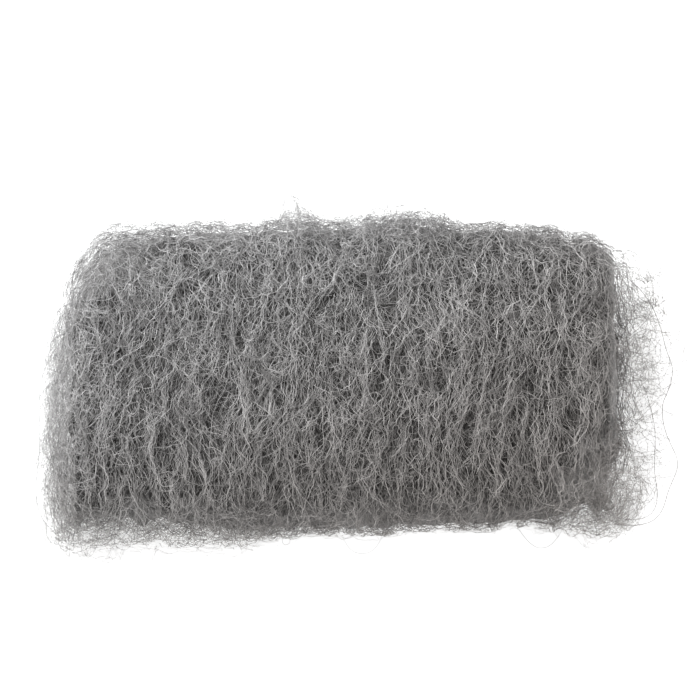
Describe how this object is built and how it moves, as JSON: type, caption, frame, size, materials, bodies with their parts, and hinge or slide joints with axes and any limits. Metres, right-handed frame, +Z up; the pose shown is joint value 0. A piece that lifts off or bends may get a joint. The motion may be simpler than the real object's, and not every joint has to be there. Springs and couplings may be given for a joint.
{
  "type": "steel wool pad",
  "caption": "Rectangular hand pad of matted steel wool, folded from one strip, for scouring and rubbing down: round folds, fringed ends, flat underside.",
  "frame": {"origin": "under the middle of the pad, on the flat face that it lies on", "axes": "+X along the pad's length, +Y towards the back fold, +Z up through its thickness"},
  "size_m": [0.1202, 0.068, 0.0255],
  "materials": {
    "steel_wool": "matted fine steel strands, grey, dull shine"
  },
  "bodies": {
    "root": {"steel_wool_pad": "steel_wool"}
  },
  "joints": []
}
